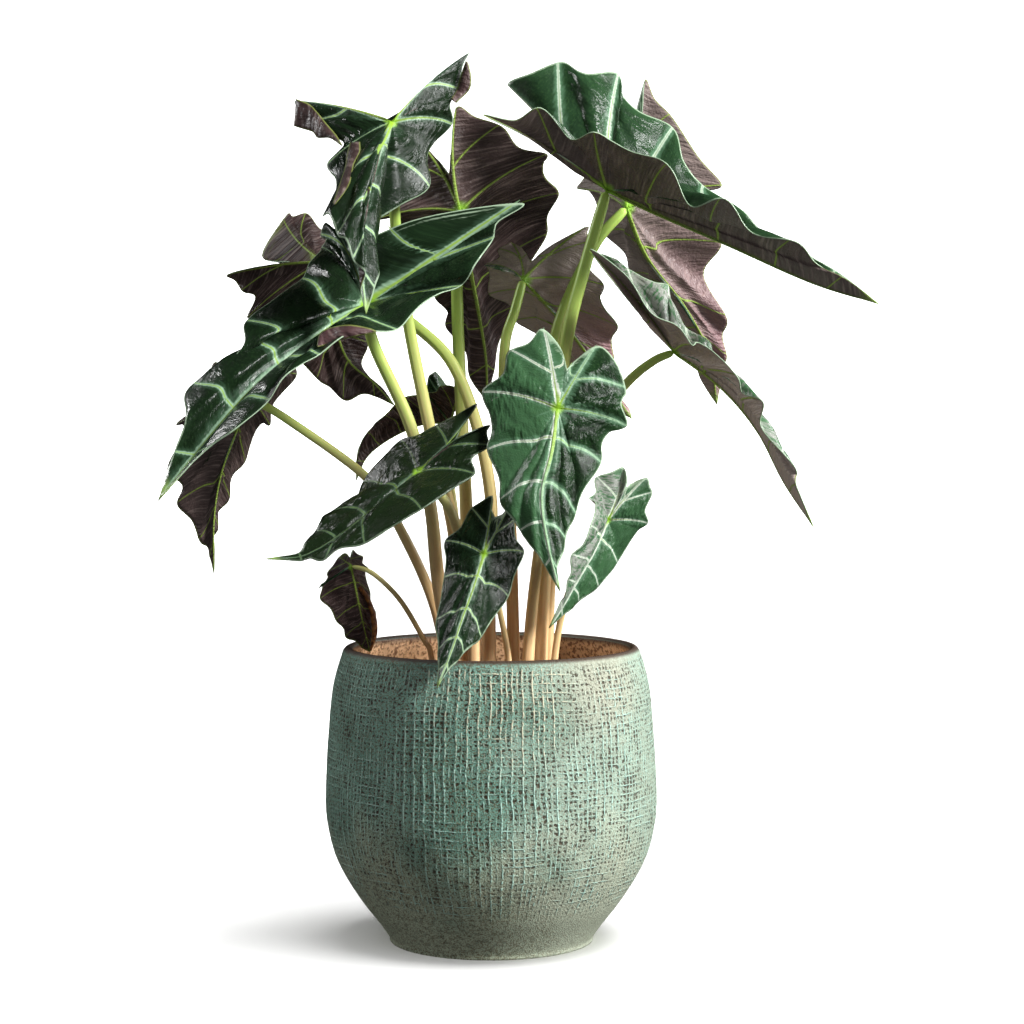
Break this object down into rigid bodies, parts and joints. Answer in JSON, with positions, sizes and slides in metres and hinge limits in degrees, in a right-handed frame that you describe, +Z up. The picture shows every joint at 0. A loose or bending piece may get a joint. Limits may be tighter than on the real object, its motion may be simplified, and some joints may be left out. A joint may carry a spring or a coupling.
{
  "type": "potted alocasia plant",
  "caption": "Potted alocasia with arrow-shaped, pale-veined leaves on slender stalks, standing in soil in a round textured stoneware pot.",
  "frame": {"origin": "centre of the pot's flat foot, on the surface it stands on", "axes": "+Z up along the pot's axis; -Y towards the viewer, so +X is the viewer's right"},
  "size_m": [0.5108, 0.332, 0.6433],
  "materials": {
    "stoneware": "rough woven-textured stoneware with a worn blue-green glaze",
    "potting_soil": "loose bark and peat mix, matt",
    "leaf_stalk": "smooth living stalk, satin",
    "leaf_blade": "waxy living leaf, dark green above and purple-brown below"
  },
  "bodies": {
    "root": {"pot": "stoneware", "soil": "potting_soil", "stalk_top_left": "leaf_stalk", "stalk_wide_left": "leaf_stalk", "stalk_low_left": "leaf_stalk", "stalk_back_left": "leaf_stalk", "stalk_back_top": "leaf_stalk", "stalk_back_centre": "leaf_stalk", "stalk_front_centre": "leaf_stalk", "stalk_front_left": "leaf_stalk", "stalk_front_low": "leaf_stalk", "stalk_low_right": "leaf_stalk", "stalk_small_rim": "leaf_stalk", "stalk_back_low": "leaf_stalk", "stalk_top_right": "leaf_stalk", "stalk_back_right": "leaf_stalk", "stalk_edge_right": "leaf_stalk", "leaf_top_left": "leaf_blade", "leaf_wide_left": "leaf_blade", "leaf_low_left": "leaf_blade", "leaf_back_left": "leaf_blade", "leaf_back_top": "leaf_blade", "leaf_back_centre": "leaf_blade", "leaf_front_centre": "leaf_blade", "leaf_front_left": "leaf_blade", "leaf_front_low": "leaf_blade", "leaf_low_right": "leaf_blade", "leaf_small_rim": "leaf_blade", "leaf_back_low": "leaf_blade", "leaf_top_right": "leaf_blade", "leaf_back_right": "leaf_blade", "leaf_edge_right": "leaf_blade"}
  },
  "joints": []
}
